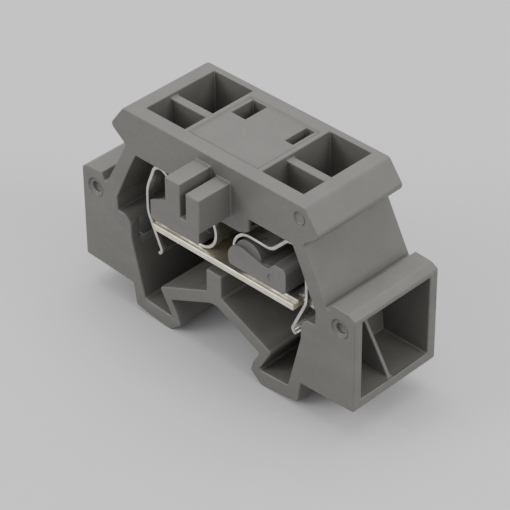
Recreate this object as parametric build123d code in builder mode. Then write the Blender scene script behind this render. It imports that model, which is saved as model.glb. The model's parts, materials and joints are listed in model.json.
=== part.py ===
from build123d import *
import os

# Miniature rail terminal block: one moulding, one current bar, two spring seats
# and four cage clamps, two beside each other at each end of the bar.
# X runs along the block, -Y is the open side, +Y the closed side, Z is up.
# The origin is at the middle of the base of the whole block, fork included.

# Moulding
half_length = 15.88
height = 20.6
body_depth = 10.0
fork_reach = 3.6
open_y = fork_reach - (body_depth + fork_reach) / 2
closed_y = open_y + body_depth
back_wall = 0.65
ceiling_z = 16.4
lug_half = 4.13
lug_bottom = 14.6
lug_depth = 0.4
post_half = 0.88
post_top = 8.9

# Openings in the head: tool shafts and test sockets
shaft_x = (4.4, 8.94)
front_row_y = (open_y + 1.4, open_y + 4.2)
rear_row_y = (open_y + 5.05, open_y + 9.35)
divider_drop = 0.4
socket_y = (open_y + 6.0, open_y + 8.55)
left_socket_x = (-3.6, -2.0)
right_socket_x = (2.5, 3.4)
platform_drop = 0.15
opening_overrun = 0.2

# Stacking fork, with its socket in the closed side
fork_bottom = 15.8
slot_bottom = 16.4
left_prong = (-1.7, 0.0, 19.65)
right_prong = (0.65, 2.2, 19.1)
fork_clearance = 0.1
socket_wall = 0.6

# Wire entries in the end boxes
box_wall = 0.95
mouth_z = (3.9, 11.75)
wire_hole_x = (9.0, 11.0)
wire_hole_z = (6.5, 9.0)
wire_hole_half = 1.45
rib_y = (open_y + 4.4, open_y + 4.8)

# Round moulding marks: stepped dimples on the boxes and a faint disc on the head
dimple_at = (14.25, 10.7)
dimple_rim = (0.85, 0.12)
dimple_core = (0.48, 0.5)
head_mark_at = (9.8, 19.3)
head_mark = (0.55, 0.1)

# Metalwork, which lies a little to the right of the moulding's middle
metal_x = 0.85
bar_z = 9.7
bar_thickness = 0.6
bar_half = 8.2
bar_edge_gap = 0.1
tongue_half = 10.2
tongue_width = 2.0
strip = 0.3
clamp_width = 3.8
front_clamp_y = open_y + 0.55
rear_clamp_y = open_y + 5.25
loop_u = 2.9
loop_radius = 1.85
leg_gap = 0.02
loop_z = bar_z + bar_thickness + leg_gap + strip / 2 + loop_radius
window_z = (8.6, 12.4)
window_width = 2.4
window_u = (7.6, 9.8)

# Spring seats
core_radius = 1.5
cap_y = (open_y + 0.05, open_y + 0.4)
recessed_core_y = open_y + 2.6
flange_y = (open_y + 4.5, open_y + 5.1)
cap_bottom = 10.85
cap_mark_at = (5.75, 11.75)
cap_mark = (0.38, 0.1)

os.makedirs("parts", exist_ok=True)


def section(y):
    """The XZ plane at y, facing the open side, so an extrusion runs towards -Y."""
    return Plane(origin=(0, y, 0), x_dir=(1, 0, 0), z_dir=(0, -1, 0))


def outline(points):
    """A closed face through (x, z, corner radius) points, in the current sketch."""
    with BuildLine() as edge:
        FilletPolyline(*[(x, z) for x, z, r in points], radius=[r for x, z, r in points], close=True)
    make_face(edge.edges())


def mirrored(points):
    """Right-hand points followed by their images on the left."""
    return points + [(-x, z, r) for x, z, r in reversed(points)]


def rectangle(x1, z1, x2, z2):
    """A rectangle between two opposite corners, in the current sketch."""
    with Locations(((x1 + x2) / 2, (z1 + z2) / 2)):
        Rectangle(abs(x2 - x1), abs(z2 - z1))


# Outside of the moulding: head, waist, marker groove, entry box and sprung foot
outside = mirrored([
    (10.35, height, 0.6),
    (12.0, 18.35, 0.5),
    (10.2, 16.95, 0.4),
    (12.75, 12.05, 0.1),
    (13.05, 11.95, 0.1),
    (13.4, 12.7, 0.2),
    (15.2, 12.6, 0.5),
    (half_length, 12.2, 0.3),
    (half_length, 2.95, 0.2),
    (10.0, 2.7, 0.1),
    (9.65, 0.5, 0.3),
    (6.2, 0.0, 0.6),
    (5.4, 0.0, 0.3),
    (4.15, 1.0, 0.35),
    (4.5, 2.0, 0.2),
    (5.25, 3.25, 0.2),
    (0.4, 5.5, 0.6),
])

# Clamp chamber, open at the front and down into both halves of the foot
chamber = mirrored([
    (9.0, ceiling_z, 0.2),
    (9.95, 14.5, 3.0),
    (11.55, 11.0, 0.3),
    (11.5, 9.65, 0.1),
    (9.95, 9.65, 1.1),
    (9.93, 7.4, 0.3),
    (8.5, 1.7, 0.25),
    (5.2, 1.5, 0.15),
    (6.65, 4.0, 0.3),
    (post_half, 6.62, 0.3),
    (post_half, post_top, 0.15),
])

# Wire entry, seen from the open side: a flat floor and a ceiling that dips inwards
funnel = [
    (half_length + 1, 12.2),
    (half_length, mouth_z[1]),
    (12.6, 10.3),
    (11.5, 9.15),
    (10.9, wire_hole_z[1]),
    (10.7, wire_hole_z[0]),
    (10.95, mouth_z[0]),
    (half_length + 1, mouth_z[0]),
]
# In front of the divider rib's slanted edge both entries are one
common_mouth = [
    (half_length + 1, 12.2),
    (half_length, mouth_z[1]),
    (12.6, 10.3),
    (12.1, 9.75),
    (half_length - 0.2, mouth_z[0]),
    (half_length + 1, mouth_z[0]),
]

with BuildPart() as housing:
    with BuildSketch(section(closed_y)):
        outline(outside)
    extrude(amount=body_depth)
    with BuildSketch(section(closed_y - back_wall)):
        outline(chamber)
    extrude(amount=body_depth, mode=Mode.SUBTRACT)

    # Lug of the front wall that keeps the springs from walking out
    with BuildSketch(section(open_y + lug_depth)):
        outline(mirrored([
            (lug_half, ceiling_z + opening_overrun, 0),
            (lug_half, lug_bottom + 0.6, 0.2),
            (lug_half - 1.0, lug_bottom, 0.3),
        ]))
    extrude(amount=lug_depth)

    # Shallow platform, tool shafts, the dropped walls between them, test sockets
    top = Plane.XY.offset(height)
    with BuildSketch(top):
        rectangle(-shaft_x[0] + 0.5, front_row_y[0], shaft_x[0] - 0.5, socket_y[1] + 0.1)
    extrude(amount=-platform_drop, mode=Mode.SUBTRACT)
    with BuildSketch(top):
        for row in (front_row_y, rear_row_y):
            rectangle(shaft_x[0], row[0], shaft_x[1], row[1])
            rectangle(-shaft_x[1], row[0], -shaft_x[0], row[1])
        rectangle(left_socket_x[0], socket_y[0], left_socket_x[1], socket_y[1])
        rectangle(right_socket_x[0], socket_y[0], right_socket_x[1], socket_y[1])
    extrude(amount=ceiling_z - height - opening_overrun, mode=Mode.SUBTRACT)
    with BuildSketch(top):
        rectangle(shaft_x[0], front_row_y[0], shaft_x[1], rear_row_y[1])
        rectangle(-shaft_x[1], front_row_y[0], -shaft_x[0], rear_row_y[1])
    extrude(amount=-divider_drop, mode=Mode.SUBTRACT)

    # Stacking fork: two prongs on a common sill
    with BuildSketch(section(open_y)):
        rectangle(left_prong[0], fork_bottom, right_prong[1], slot_bottom)
        rectangle(left_prong[0], fork_bottom, left_prong[1], left_prong[2])
        rectangle(right_prong[0], fork_bottom, right_prong[1], right_prong[2])
    extrude(amount=fork_reach)
    # The socket that takes the next block's fork, with its floor under the ceiling
    with BuildSketch(section(closed_y)):
        rectangle(
            left_socket_x[1],
            fork_bottom - fork_clearance - socket_wall,
            right_socket_x[0],
            ceiling_z + opening_overrun,
        )
    extrude(amount=fork_reach + fork_clearance + socket_wall)
    with BuildSketch(section(closed_y)):
        rectangle(
            left_prong[0] - fork_clearance,
            fork_bottom - fork_clearance,
            right_prong[1] + fork_clearance,
            left_prong[2] + fork_clearance,
        )
    extrude(amount=fork_reach + fork_clearance, mode=Mode.SUBTRACT)

    # Wire entries: one funnel and one wire hole for each clamp
    for side in (1, -1):
        for low_y, high_y in ((open_y + box_wall, rib_y[0]), (rib_y[1], closed_y - box_wall)):
            with BuildSketch(section(high_y)):
                with BuildLine():
                    Polyline(*[(side * x, z) for x, z in funnel], close=True)
                make_face()
            extrude(amount=high_y - low_y, mode=Mode.SUBTRACT)
        with BuildSketch(section(closed_y - box_wall)):
            with BuildLine():
                Polyline(*[(side * x, z) for x, z in common_mouth], close=True)
            make_face()
        extrude(amount=body_depth - 2 * box_wall, mode=Mode.SUBTRACT)
        for clamp_y in (front_clamp_y, rear_clamp_y):
            middle_y = clamp_y + clamp_width / 2
            with BuildSketch(section(middle_y + wire_hole_half)):
                rectangle(side * wire_hole_x[0], wire_hole_z[0], side * wire_hole_x[1], wire_hole_z[1])
            extrude(amount=2 * wire_hole_half, mode=Mode.SUBTRACT)

    # Moulding marks on the front faces of the boxes and the head
    other_dimple_at = (-dimple_at[0], dimple_at[1])
    for mark_at, (radius, depth) in (
        (dimple_at, dimple_rim),
        (dimple_at, dimple_core),
        (other_dimple_at, dimple_rim),
        (other_dimple_at, dimple_core),
        (head_mark_at, head_mark),
    ):
        with BuildSketch(section(open_y)):
            with Locations(mark_at):
                Circle(radius)
        extrude(amount=-depth, mode=Mode.SUBTRACT)
housing.part.label = "housing"

# Current bar, full width under both rows, with a tongue into each clamp's window
with BuildPart() as current_bar:
    with BuildSketch(Plane.XY.offset(bar_z)):
        rectangle(
            metal_x - bar_half,
            open_y + bar_edge_gap,
            metal_x + bar_half,
            closed_y - back_wall - bar_edge_gap,
        )
        for clamp_y in (front_clamp_y, rear_clamp_y):
            middle_y = clamp_y + clamp_width / 2
            rectangle(
                metal_x - tongue_half,
                middle_y - tongue_width / 2,
                metal_x + tongue_half,
                middle_y + tongue_width / 2,
            )
    extrude(amount=bar_thickness)
current_bar.part.label = "current_bar"


def spring_seat(side):
    """Core inside both springs of one side, with a wall between the rows.

    The right seat has a cap over its springs' loops. The left one is turned round, so
    its loops are bare at the front and its core stands back inside them.
    """
    def at(points):
        return [(metal_x + side * u, z, r) for u, z, r in points]

    body = [
        (loop_u - 0.4, loop_z - core_radius, 0),
        (7.4, loop_z - core_radius, 0.4),
        (7.4, 13.3, 0.5),
        (6.1, 13.3, 0.4),
        (5.5, 12.6, 0.3),
        (loop_u - 0.4, 12.5, 0),
    ]
    with BuildPart() as seat:
        # Round end inside the loops
        with BuildSketch(section(closed_y - back_wall)):
            with Locations((metal_x + side * loop_u, loop_z)):
                Circle(core_radius)
        core_front = cap_y[1] if side > 0 else recessed_core_y
        extrude(amount=closed_y - back_wall - core_front)
        # Flat body over the lower legs
        with BuildSketch(section(closed_y - back_wall)):
            outline(at(body))
        extrude(amount=closed_y - back_wall - cap_y[1])
        if side > 0:
            # Front cap, which covers the lower half of the loop
            with BuildSketch(section(cap_y[1])):
                with Locations((metal_x + 2.33, 11.65)):
                    Circle(1.5)
                outline(at([
                    (2.33, 10.2, 0),
                    (6.9, 10.2, 0),
                    (7.4, 11.3, 0.4),
                    (7.4, 13.3, 0.5),
                    (6.1, 13.3, 0.4),
                    (5.5, 12.6, 0.3),
                    (4.8, 12.55, 0.8),
                    (2.33, 13.15, 0),
                ]))
                with Locations((metal_x + 4, cap_bottom - 1)):
                    Rectangle(9, 2, mode=Mode.SUBTRACT)
            extrude(amount=cap_y[1] - cap_y[0])
            with BuildSketch(section(cap_y[0])):
                with Locations((metal_x + cap_mark_at[0], cap_mark_at[1])):
                    Circle(cap_mark[0])
            extrude(amount=-cap_mark[1], mode=Mode.SUBTRACT)
        else:
            # Front face, which runs further along the bar
            with BuildSketch(section(cap_y[1])):
                outline(at([
                    (2.5, cap_bottom, 0.3),
                    (8.3, cap_bottom, 0.3),
                    (8.3, 12.7, 0.2),
                    (6.7, 13.5, 0.4),
                    (6.0, 13.5, 0.3),
                    (5.5, 12.6, 0.3),
                    (2.5, 12.5, 0.3),
                ]))
            extrude(amount=cap_y[1] - cap_y[0])
        # Wall between the front and the rear spring
        with BuildSketch(section(flange_y[1])):
            outline(at([
                (0.75, 10.4, 0.6),
                (8.0, 10.4, 0.4),
                (8.0, 15.0, 0.8),
                (5.4, 14.7, 1.0),
                (0.75, 14.4, 1.0),
            ]))
        extrude(amount=flange_y[1] - flange_y[0])
    return seat


# Fixed part of a cage clamp: the leg on the bar and the loop
base_path = [
    (8.35, loop_z - loop_radius),
    (loop_u, loop_z - loop_radius),
]
# Moving part: the upper leg, its shoulder under the tool shaft, and the windowed leg
cage_path = [
    (3.55, loop_z + loop_radius),
    (5.35, loop_z + loop_radius - 0.05),
    (7.85, 16.7),
    (9.2, 13.2),
    (9.2, 10.75),
    (7.6, 7.3),
    (8.05, 6.95),
]
cage_radii = [1.3, 0.9, 3.5, 2.2, 0.35]


def clamp_base(side, low_y):
    """Leg on the bar and loop of one clamp spring."""
    with BuildPart() as base:
        with BuildSketch(section(low_y + clamp_width)):
            with BuildLine():
                Line(*[(metal_x + side * u, z) for u, z in base_path])
                ThreePointArc(
                    (metal_x + side * loop_u, loop_z - loop_radius),
                    (metal_x + side * (loop_u - loop_radius), loop_z),
                    (metal_x + side * loop_u, loop_z + loop_radius),
                )
                Line(
                    (metal_x + side * loop_u, loop_z + loop_radius),
                    (metal_x + side * (cage_path[0][0] - 0.05), loop_z + loop_radius),
                )
            trace(line_width=strip)
        extrude(amount=clamp_width)
    return base


def clamp_cage(side, low_y):
    """Moving leg of one clamp spring, with the window that grips the wire."""
    with BuildPart() as cage:
        with BuildSketch(section(low_y + clamp_width)):
            with BuildLine():
                FilletPolyline(
                    *[(metal_x + side * u, z) for u, z in cage_path],
                    radius=cage_radii,
                )
            trace(line_width=strip)
        extrude(amount=clamp_width)
        middle_y = low_y + clamp_width / 2
        with BuildSketch(section(middle_y + window_width / 2)):
            rectangle(metal_x + side * window_u[0], window_z[0], metal_x + side * window_u[1], window_z[1])
        extrude(amount=window_width, mode=Mode.SUBTRACT)
    return cage


export_step(housing.part, "parts/housing.step")
export_step(current_bar.part, "parts/current_bar.step")
for side_name, side in (("left", -1), ("right", 1)):
    seat = spring_seat(side)
    seat.part.label = f"spring_seat_{side_name}"
    export_step(seat.part, f"parts/spring_seat_{side_name}.step")
    for row_name, low_y in (("front", front_clamp_y), ("rear", rear_clamp_y)):
        base = clamp_base(side, low_y)
        base.part.label = f"clamp_spring_{row_name}_{side_name}"
        export_step(base.part, f"parts/clamp_spring_{row_name}_{side_name}.step")
        cage = clamp_cage(side, low_y)
        cage.part.label = f"clamp_cage_{row_name}_{side_name}"
        export_step(cage.part, f"parts/clamp_cage_{row_name}_{side_name}.step")
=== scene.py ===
import json
import math

import bmesh
import bpy
from mathutils import Euler, Matrix, Vector


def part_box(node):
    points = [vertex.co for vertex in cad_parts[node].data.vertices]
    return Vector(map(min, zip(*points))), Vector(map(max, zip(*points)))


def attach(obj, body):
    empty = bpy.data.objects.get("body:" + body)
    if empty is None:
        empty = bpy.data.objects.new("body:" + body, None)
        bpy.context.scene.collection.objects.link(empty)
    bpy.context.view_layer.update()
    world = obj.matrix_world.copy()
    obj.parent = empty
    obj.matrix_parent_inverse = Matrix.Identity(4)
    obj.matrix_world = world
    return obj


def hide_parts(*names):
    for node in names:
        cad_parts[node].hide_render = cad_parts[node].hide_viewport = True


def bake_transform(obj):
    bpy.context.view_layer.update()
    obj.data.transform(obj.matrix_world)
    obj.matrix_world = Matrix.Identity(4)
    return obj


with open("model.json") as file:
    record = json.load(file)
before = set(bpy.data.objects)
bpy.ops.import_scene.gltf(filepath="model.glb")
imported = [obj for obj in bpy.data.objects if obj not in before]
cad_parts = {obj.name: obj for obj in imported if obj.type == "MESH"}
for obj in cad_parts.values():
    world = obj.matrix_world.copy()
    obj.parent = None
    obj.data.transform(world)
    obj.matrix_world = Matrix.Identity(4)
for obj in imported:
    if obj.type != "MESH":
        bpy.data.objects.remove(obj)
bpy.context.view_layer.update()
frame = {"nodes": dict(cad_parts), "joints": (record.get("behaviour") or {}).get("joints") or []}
mm = 0.001  # metres
print("frame loaded:", len(frame["nodes"]), "nodes")


# wraps a socket, so that arithmetic on it adds Math nodes
class Signal:
    def __init__(self, shader, socket):
        self.shader = shader
        self.socket = socket

    def maths(self, operation, first, second):
        return self.shader.node("ShaderNodeMath", {"operation": operation}, {0: first, 1: second})

    def __add__(self, other):
        return self.maths("ADD", self, other)

    def __radd__(self, other):
        return self.maths("ADD", other, self)

    def __sub__(self, other):
        return self.maths("SUBTRACT", self, other)

    def __rsub__(self, other):
        return self.maths("SUBTRACT", other, self)

    def __mul__(self, other):
        return self.maths("MULTIPLY", self, other)

    def __rmul__(self, other):
        return self.maths("MULTIPLY", other, self)


# a material with a Principled BSDF, and the nodes that feed it
class Finish:
    def __init__(self, name, fixedSockets):
        self.material = bpy.data.materials.new(name)
        self.material.use_nodes = True
        self.tree = self.material.node_tree
        self.bsdf = self.tree.nodes["Principled BSDF"]
        for socketName, value in fixedSockets.items():
            self.bsdf.inputs[socketName].default_value = value
        self.place = self.node("ShaderNodeTexCoord", {}, {}, output="Object")

    # one node: its settings first, then the values or links of its sockets
    def node(self, kind, settings, sockets, output=0):
        made = self.tree.nodes.new(kind)
        for setting, value in settings.items():
            setattr(made, setting, value)
        for socket, value in sockets.items():
            if isinstance(value, Signal):
                self.tree.links.new(value.socket, made.inputs[socket])
            else:
                made.inputs[socket].default_value = value
        return Signal(self, made.outputs[output])

    def noise(self, grain, detail, stretch=(1, 1, 1)):
        # grain is the size of one blotch, in metres
        where = self.node("ShaderNodeMapping", {}, {"Vector": self.place, "Scale": stretch})
        sockets = {"Vector": where, "Scale": 1 / grain, "Detail": detail}
        return self.node("ShaderNodeTexNoise", {}, sockets, output="Fac")

    def between(self, value, low, high):
        # 0 at low, 1 at high
        sockets = {"Value": value, "From Min": low, "From Max": high}
        return self.node("ShaderNodeMapRange", {}, sockets, output="Result")

    def mixColours(self, factor, first, second):
        # 0, 6, 7 and output 2 are the Mix node's colour sockets
        sockets = {0: factor, 6: first, 7: second}
        return self.node("ShaderNodeMix", {"data_type": "RGBA"}, sockets, output=2)

    def bump(self, height, distance, strength, under=None):
        sockets = {"Height": height, "Distance": distance, "Strength": strength}
        if under:
            sockets["Normal"] = under
        return self.node("ShaderNodeBump", {}, sockets, output="Normal")

    def feed(self, **signals):
        for socketName, signal in signals.items():
            self.tree.links.new(signal.socket, self.bsdf.inputs[socketName.replace("_", " ")])
        return self.material


polyamide = {
    "grey": (0.088, 0.0875, 0.078, 1),
    "deepGrey": (0.077, 0.0765, 0.069, 1),
    "scuff": (0.13, 0.13, 0.125, 1),
    "roughness": (0.42, 0.58),
    "ior": 1.53,
    "specular": 0.45,
    "flowSize": 2.6 * mm,
    "flowStretch": (0.55, 1, 1.3),
    "flowRange": (0.3, 0.7),  # where the noise turns from deepGrey to grey
    "grainSize": 0.11 * mm,
    "grainDepth": 0.012 * mm,
    "grainStrength": 0.6,
    "speckleSize": 0.42 * mm,
    "speckleDepth": 0.02 * mm,
    "speckleStrength": 0.35,
    "speckleRange": (0.3, 0.7),
    "scuffSize": 0.9 * mm,
    "scuffStretch": (0.18, 2.4, 1.0),
    "scuffRange": (0.66, 0.74),
    "scuffFlowRange": (0.45, 0.6),  # scuffs show only in the paler clouds
    "scuffStrength": 0.35,
    "scuffShine": 0.06,
}


def moulded(name, look):
    # spark-eroded mould texture, slow flow clouds and a few fine handling scuffs
    finish = Finish(name, {"IOR": look["ior"], "Specular IOR Level": look["specular"]})
    clouds = finish.noise(look["flowSize"], 3.0, stretch=look["flowStretch"])
    grain = finish.noise(look["grainSize"], 2.0)
    speckle = finish.noise(look["speckleSize"], 4.0)
    scratch = finish.noise(look["scuffSize"], 3.0, stretch=look["scuffStretch"])
    paler = finish.between(clouds, *look["scuffFlowRange"])
    scuffs = finish.between(scratch, *look["scuffRange"]) * paler
    flow = finish.between(clouds, *look["flowRange"])
    tone = finish.mixColours(flow, look["deepGrey"], look["grey"])
    tone = finish.mixColours(scuffs * look["scuffStrength"], tone, look["scuff"])
    low, high = look["roughness"]
    dull = finish.between(speckle, *look["speckleRange"])
    rough = low + (high - low) * dull - look["scuffShine"] * scuffs
    height = finish.bump(grain, look["grainDepth"], look["grainStrength"])
    height = finish.bump(speckle, look["speckleDepth"], look["speckleStrength"], under=height)
    return finish.feed(Base_Color=tone, Roughness=rough, Normal=height)


mouldingFinish = moulded("greyPolyamide", polyamide)
# the seats are the moulding's own grey plastic; this paler copy of its finish is painted light,
# making the seats look more brightly lit than the moulding around them
seatPolyamidePaintedLight = dict(
    polyamide,
    grey=(0.092, 0.090, 0.084, 1),
    deepGrey=(0.080, 0.078, 0.073, 1),
    roughness=(0.36, 0.5),
)
seatFinish = moulded("palePolyamide", seatPolyamidePaintedLight)

steel = {
    "bright": (0.64, 0.63, 0.59, 1),
    "dull": (0.44, 0.43, 0.40, 1),
    "roughness": (0.2, 0.36),
    "blotchSize": 1.1 * mm,
    "brightRange": (0.35, 0.68),
    "roughRange": (0.7, 0.35),  # falls as the blotch noise rises
    "lineSize": 0.05 * mm,
    "lineStretch": (0.04, 1, 1),
    "lineDepth": 0.006 * mm,
    "lineStrength": 0.5,
    "lineRoughness": 0.08,
}
tin = dict(
    steel,
    bright=(0.88, 0.85, 0.69, 1),
    dull=(0.66, 0.61, 0.47, 1),
    roughness=(0.3, 0.48),
    lineSize=0.09 * mm,
)


def rolledMetal(name, look):
    # fine rolling lines along the strip, with soft blotches of oil and handling
    finish = Finish(name, {"Metallic": 1.0, "IOR": 1.5})
    lines = finish.noise(look["lineSize"], 3.0, stretch=look["lineStretch"])
    blotch = finish.noise(look["blotchSize"], 3.0)
    clean = finish.between(blotch, *look["brightRange"])
    tone = finish.mixColours(clean, look["dull"], look["bright"])
    low, high = look["roughness"]
    oily = finish.between(blotch, *look["roughRange"])
    rough = low + (high - low) * oily + look["lineRoughness"] * lines
    height = finish.bump(lines, look["lineDepth"], look["lineStrength"])
    return finish.feed(Base_Color=tone, Roughness=rough, Normal=height)


springFinish = rolledMetal("springSteel", steel)
barFinish = rolledMetal("tinnedCopper", tin)
print("finishes made:", len(bpy.data.materials))


def addPiece(bm, name, finish):
    sharpAbove = 40  # degrees
    mesh = bpy.data.meshes.new(name)
    bm.to_mesh(mesh)
    bm.free()
    for polygon in mesh.polygons:
        polygon.use_smooth = True
    mesh.set_sharp_from_angle(angle=math.radians(sharpAbove))
    piece = bpy.data.objects.new(name, mesh)
    bpy.context.scene.collection.objects.link(piece)
    mesh.materials.append(finish)
    return piece


# angles in degrees
mouldingEdge = {
    "radius": 0.13 * mm,
    "steps": 2,
    "mergeWithin": 0.002 * mm,
    "flatWithin": 0.6,
    "roundAbove": 27,
    "shadingWeight": 60,
}


def mouldedCopy(node, name, finish, edge):
    # the node's own shape with the small radii that a mould leaves on its edges
    bm = bmesh.new()
    bm.from_mesh(frame["nodes"][node].data)
    bmesh.ops.remove_doubles(bm, verts=bm.verts, dist=edge["mergeWithin"])
    flat = math.radians(edge["flatWithin"])
    bmesh.ops.dissolve_limit(bm, angle_limit=flat, verts=bm.verts, edges=bm.edges)
    # a face with a hole in it would break in the bevel, so larger faces go back to triangles
    bmesh.ops.triangulate(bm, faces=[f for f in bm.faces if len(f.verts) > 4])
    corner = math.radians(edge["roundAbove"])
    sharp = [e for e in bm.edges if e.is_manifold and e.calc_face_angle() > corner]
    bmesh.ops.bevel(
        bm,
        geom=sharp,
        affect="EDGES",
        offset=edge["radius"],
        segments=edge["steps"],
        profile=0.5,
        material=-1,
        clamp_overlap=False,
    )
    bmesh.ops.dissolve_limit(bm, angle_limit=flat / 2, verts=bm.verts, edges=bm.edges)
    piece = addPiece(bm, name, finish)
    weighted = piece.modifiers.new("evenShading", "WEIGHTED_NORMAL")
    weighted.keep_sharp = True
    weighted.weight = edge["shadingWeight"]
    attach(piece, "root")
    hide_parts(node)


mouldedCopy("housing", "moulding", mouldingFinish, mouldingEdge)
seatEdge = dict(mouldingEdge, radius=0.05 * mm)
for end in ("left", "right"):
    mouldedCopy(f"spring_seat_{end}", f"springSeat_{end}", seatFinish, seatEdge)
barEdge = dict(mouldingEdge, radius=0.07 * mm)
mouldedCopy("current_bar", "currentBar", barFinish, barEdge)
print("moulding, seats and bar made")


# each clamp is one strip, formed run by run and bend by bend
clampStrip = {
    "thickness": 0.3 * mm,
    "width": 3.8 * mm,
    "windowWidth": 2.4 * mm,
    "edgeRadius": 0.06 * mm,
    "bendStep": 7,  # degrees
    "loopRadius": 1.85 * mm,
    "lowerLeg": 5.45 * mm,
    "joinAt": 0.62 * mm,  # past the loop's top, where the moving leg starts
    "cageHeading": -1.565,  # degrees above +X, at the join
}
# run length, then turn in degrees and its radius, and whether the window is open there
fixedSteps = [
    (clampStrip["lowerLeg"], -180, clampStrip["loopRadius"], False),
    (clampStrip["joinAt"], 0, 0, False),
]
movingSteps = [
    (1.259 * mm, 47.47, 1.3 * mm, False),
    (1.613 * mm, -114.81, 0.9 * mm, False),
    (1.692 * mm, -21.09, 3.5 * mm, False),
    (0.148 * mm, 0, 0, False),
    (1.165 * mm, -24.88, 2.2 * mm, True),
    (1.885 * mm, 0, 0, True),
    (1.154 * mm, 77.0, 0.35 * mm, False),
    (0.292 * mm, 0, 0, False),
]


def formStrip(start, heading, side, middleY, steps):
    # start is in the XZ plane; heading is in degrees above +X, before the mirror for the left side
    halfWidth = clampStrip["width"] / 2
    halfWindow = clampStrip["windowWidth"] / 2
    bm = bmesh.new()
    row = [
        bm.verts.new((start[0], middleY + y, start[1]))
        for y in (-halfWidth, -halfWindow, halfWindow, halfWidth)
    ]
    edges = [bm.edges.new(pair) for pair in zip(row, row[1:])]
    window = []
    for length, turn, radius, isOpen in steps:
        before = set(bm.faces)
        way = Vector((math.cos(math.radians(heading)), 0, math.sin(math.radians(heading))))
        grown = bmesh.ops.extrude_edge_only(bm, edges=edges)["geom"]
        points = [g for g in grown if isinstance(g, bmesh.types.BMVert)]
        edges = [g for g in grown if isinstance(g, bmesh.types.BMEdge)]
        bmesh.ops.translate(bm, verts=points, vec=way * length)
        if turn:
            across = Vector((-way.z, 0, way.x)) * math.copysign(radius, turn)
            grown = bmesh.ops.spin(
                bm,
                geom=points + edges,
                cent=points[0].co + across,
                axis=(0, -1, 0),
                angle=math.radians(turn),
                steps=max(2, round(abs(turn) / clampStrip["bendStep"])),
                use_duplicate=False,
            )["geom_last"]
            edges = [g for g in grown if isinstance(g, bmesh.types.BMEdge)]
            heading += turn
        if isOpen:
            added = [f for f in bm.faces if f not in before]
            window += [f for f in added if abs(f.calc_center_median().y - middleY) < halfWindow / 2]
    bmesh.ops.delete(bm, geom=window, context="FACES")
    bmesh.ops.remove_doubles(bm, verts=bm.verts, dist=0.001 * mm)
    if side < 0:
        # the left springs are the right ones seen in a mirror
        mirror = Matrix.Translation((-start[0], 0, 0))
        bmesh.ops.scale(bm, vec=(-1, 1, 1), verts=bm.verts, space=mirror)
    bmesh.ops.recalc_face_normals(bm, faces=bm.faces)
    return bm


def thicken(bm, joinX, loopZ):
    # gives the sheet its thickness, half to each side, and rounds every edge but the join
    thickness = clampStrip["thickness"]
    roundAbove = math.radians(60)
    joinWithin = 0.01 * mm
    bm.normal_update()
    for vert in bm.verts:
        vert.co += vert.normal * thickness / 2
    bmesh.ops.solidify(bm, geom=bm.faces[:], thickness=thickness)
    bmesh.ops.recalc_face_normals(bm, faces=bm.faces)
    rim = [
        e for e in bm.edges
        if e.is_manifold
        and e.calc_face_angle() > roundAbove
        and not all(abs(v.co.x - joinX) < joinWithin and v.co.z > loopZ for v in e.verts)
    ]
    bmesh.ops.bevel(
        bm,
        geom=rim,
        affect="EDGES",
        offset=clampStrip["edgeRadius"],
        segments=2,
        profile=0.5,
        material=-1,
        clamp_overlap=True,
    )
    return bm


for joint in frame["joints"]:
    place = joint["name"].replace("clamp_open_", "")
    loop = Vector(joint["pos_m"])
    side = 1 if place.endswith("right") else -1
    baseNode = f"clamp_spring_{place}"
    cageNode = f"clamp_cage_{place}"
    middleY = sum(corner.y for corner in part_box(baseNode)) / 2
    joinX = loop.x + side * clampStrip["joinAt"]

    legStart = (loop.x + clampStrip["lowerLeg"], loop.z - clampStrip["loopRadius"])
    sheet = formStrip(legStart, 180, side, middleY, fixedSteps)
    if side < 0:
        # the mirror left the leg's start in place, so it moves to the loop's other side
        bmesh.ops.translate(sheet, verts=sheet.verts, vec=(-2 * clampStrip["lowerLeg"], 0, 0))
    base = addPiece(thicken(sheet, joinX, loop.z), f"clampSpring_{place}", springFinish)
    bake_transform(base)
    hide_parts(baseNode)

    cageStart = (joinX, loop.z + clampStrip["loopRadius"])
    sheet = formStrip(cageStart, clampStrip["cageHeading"], side, middleY, movingSteps)
    cage = addPiece(thicken(sheet, joinX, loop.z), f"clampCage_{place}", springFinish)
    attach(cage, joint["child"])
    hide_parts(cageNode)


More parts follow.
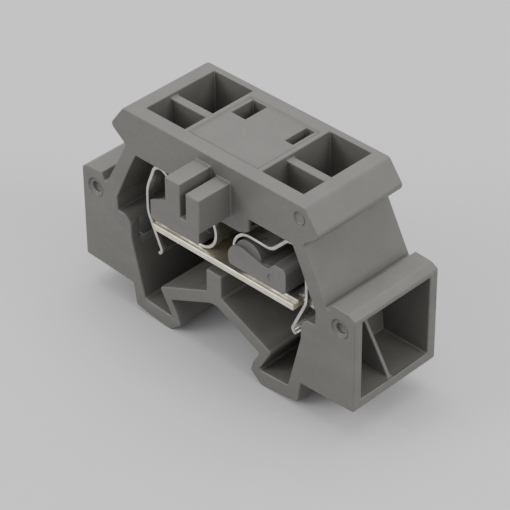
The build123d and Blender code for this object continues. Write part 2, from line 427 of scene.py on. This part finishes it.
studio = {
    "floorSize": 3.0,
    "floorTone": (0.40, 0.396, 0.40, 1),
    "floorShade": 0.985,  # the darkest patch, as a part of floorTone
    "floorPatch": 40 * mm,
    "surround": (0.80, 0.79, 0.81, 1),
    "surroundStrength": 1.66,
    "aim": (0, 0, 0.01),
    # each softbox's place, size and watts
    "softboxes": {
        "overhead": ((-0.06, 0.08, 0.42), (0.34, 0.28), 1.3),
        "rightSide": ((0.40, 0.06, 0.30), (0.24, 0.20), 1.2),
        "frontLeft": ((-0.26, -0.40, 0.26), (0.26, 0.22), 1.6),
    },
}


def studioFloor():
    bm = bmesh.new()
    bmesh.ops.create_grid(bm, x_segments=1, y_segments=1, size=studio["floorSize"] / 2)
    mesh = bpy.data.meshes.new("studioFloor")
    bm.to_mesh(mesh)
    bm.free()
    floor = bpy.data.objects.new("studioFloor", mesh)
    bpy.context.scene.collection.objects.link(floor)
    paper = Finish("palePaper", {"Specular IOR Level": 0.2, "Roughness": 0.75})
    shade = paper.noise(studio["floorPatch"], 2.0)
    tone = studio["floorTone"]
    darker = tuple(studio["floorShade"] * c for c in tone[:3]) + (1,)
    mesh.materials.append(paper.feed(Base_Color=paper.mixColours(shade, darker, tone)))


def softbox(name, place, size, watts):
    light = bpy.data.lights.new(name, "AREA")
    light.shape = "RECTANGLE"
    light.size, light.size_y = size
    light.energy = watts
    lamp = bpy.data.objects.new(name, light)
    bpy.context.scene.collection.objects.link(lamp)
    lamp.location = place
    lamp.rotation_mode = "QUATERNION"
    lamp.rotation_quaternion = (Vector(studio["aim"]) - Vector(place)).to_track_quat("-Z", "Y")


studioFloor()
for name, (place, size, watts) in studio["softboxes"].items():
    softbox(name, place, size, watts)

world = bpy.data.worlds.new("studio")
bpy.context.scene.world = world
world.use_nodes = True
background = world.node_tree.nodes["Background"]
background.inputs["Color"].default_value = studio["surround"]
background.inputs["Strength"].default_value = studio["surroundStrength"]

view = {
    "place": (119.60 * mm, -119.38 * mm, 134.03 * mm),
    "tilt": (53.51, 0.44, 44.31),  # degrees about X, Y and Z
    "lens": 177.25,
    "sensor": 36,
    "clipStart": 0.01,
}
camera = bpy.data.objects.new("camera", bpy.data.cameras.new("camera"))
bpy.context.scene.collection.objects.link(camera)
camera.location = view["place"]
camera.rotation_euler = Euler([math.radians(a) for a in view["tilt"]], "XYZ")
camera.data.lens = view["lens"]
camera.data.sensor_width = view["sensor"]
camera.data.clip_start = view["clipStart"]
bpy.context.scene.camera = camera
print("studio ready")
